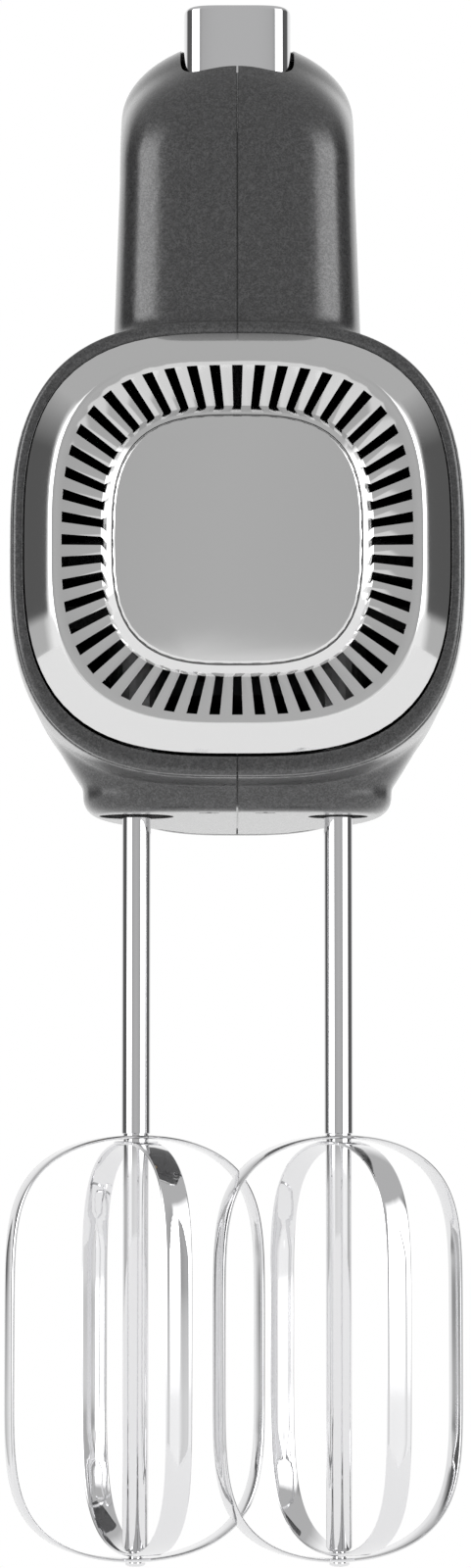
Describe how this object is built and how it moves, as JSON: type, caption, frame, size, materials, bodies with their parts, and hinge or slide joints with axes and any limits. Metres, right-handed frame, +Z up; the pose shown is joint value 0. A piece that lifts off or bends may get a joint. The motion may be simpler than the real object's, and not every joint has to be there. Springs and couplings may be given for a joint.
{
  "type": "hand mixer",
  "caption": "Electric hand mixer with a closed loop handle, a slotted front grille, a push button that ejects the beaters, and two wire beaters on coupled spindles.",
  "frame": {"origin": "middle of the hand grip", "axes": "+X to the mixer's left-right side seen from the front, -Y towards the grille at the front, +Z up, with the beaters pointing down"},
  "size_m": [0.102, 0.195, 0.3457],
  "materials": {
    "gunmetal_paint": "satin metallic dark grey",
    "satin_metal": "satin bright metal",
    "polished_steel": "polished",
    "machined_steel": "machined",
    "nylon": "moulded, glass-filled",
    "black_plastic": "moulded",
    "lamination_iron": "stacked laminations",
    "copper": "enamelled copper",
    "bronze": "sintered bronze",
    "carbon": "carbon",
    "circuit_board": "lacquered board"
  },
  "bodies": {
    "housing": {"housing_left": "gunmetal_paint", "housing_right": "gunmetal_paint", "rear_cap": "gunmetal_paint", "grille_bezel": "satin_metal", "grille_centre_plate": "satin_metal", "housing_screw_1": "machined_steel", "housing_screw_2": "machined_steel", "housing_screw_3": "machined_steel", "housing_screw_4": "machined_steel", "housing_screw_5": "machined_steel", "gear_carrier": "black_plastic", "front_bearing": "bronze", "middle_bearing": "bronze", "rear_bearing": "bronze", "spindle_bush_left": "bronze", "spindle_bush_right": "bronze", "socket_bush_left": "bronze", "socket_bush_right": "bronze", "field_stack": "lamination_iron", "field_coil_left": "copper", "field_coil_right": "copper", "brush_left": "carbon", "brush_right": "carbon", "brush_holder_left": "bronze", "brush_holder_right": "bronze", "motor_bracket": "black_plastic", "speed_switch": "black_plastic", "control_board": "circuit_board", "terminal_block": "nylon", "cord_inlet": "black_plastic"},
    "rotor": {"motor_shaft": "machined_steel", "cooling_fan": "black_plastic", "armature_core": "lamination_iron", "commutator": "copper"},
    "spindle_left": {"spindle_left": "machined_steel", "gear_left": "nylon", "circlip_left": "machined_steel"},
    "spindle_right": {"spindle_right": "machined_steel", "gear_right": "nylon", "circlip_right": "machined_steel"},
    "ejector": {"eject_button": "satin_metal", "eject_yoke": "nylon", "eject_spring": "machined_steel"},
    "pin_left": {"eject_pin_left": "machined_steel"},
    "pin_right": {"eject_pin_right": "machined_steel"},
    "beater_left": {"beater_shaft_left": "polished_steel", "beater_wide_loop_left": "polished_steel", "beater_cross_loop_left": "polished_steel", "drive_collar_left": "nylon"},
    "beater_right": {"beater_shaft_right": "polished_steel", "beater_wide_loop_right": "polished_steel", "beater_cross_loop_right": "polished_steel", "drive_collar_right": "nylon"},
    "speed_slider": {"speed_slider": "satin_metal"}
  },
  "joints": [
    {"name": "rotor_spin", "type": "hinge", "parent": "housing", "child": "rotor", "pos_m": [0, -0.03, -0.106], "axis": [0, 1, 0], "continuous": true},
    {"name": "spindle_left_spin", "type": "hinge", "parent": "housing", "child": "spindle_left", "pos_m": [-0.0225, -0.06, -0.132], "axis": [0, 0, 1], "continuous": true},
    {"name": "spindle_right_spin", "type": "hinge", "parent": "housing", "child": "spindle_right", "pos_m": [0.0225, -0.06, -0.132], "axis": [0, 0, 1], "continuous": true},
    {"name": "eject_press", "type": "slide", "parent": "housing", "child": "ejector", "axis": [0, 0, -1], "range_m": [0, 0.008], "stiffness_N_per_m": 600, "springref_m": -0.004, "deforming": ["eject_spring"]},
    {"name": "pin_left_push", "type": "slide", "parent": "spindle_left", "child": "pin_left", "axis": [0, 0, -1], "range_m": [0, 0.008]},
    {"name": "pin_right_push", "type": "slide", "parent": "spindle_right", "child": "pin_right", "axis": [0, 0, -1], "range_m": [0, 0.008]},
    {"name": "beater_left_release", "type": "slide", "parent": "pin_left", "child": "beater_left", "axis": [0, 0, -1], "range_m": [0, 0.042]},
    {"name": "beater_right_release", "type": "slide", "parent": "pin_right", "child": "beater_right", "axis": [0, 0, -1], "range_m": [0, 0.042]},
    {"name": "speed_slide", "type": "slide", "parent": "housing", "child": "speed_slider", "axis": [0, 1, 0], "range_m": [0, 0.02]}
  ],
  "couplings": [
    {"joint": "spindle_left_spin", "follows": "rotor_spin", "ratio": -0.083333},
    {"joint": "spindle_right_spin", "follows": "rotor_spin", "ratio": 0.083333},
    {"joint": "pin_left_push", "follows": "eject_press", "ratio": 1},
    {"joint": "pin_right_push", "follows": "eject_press", "ratio": 1}
  ]
}
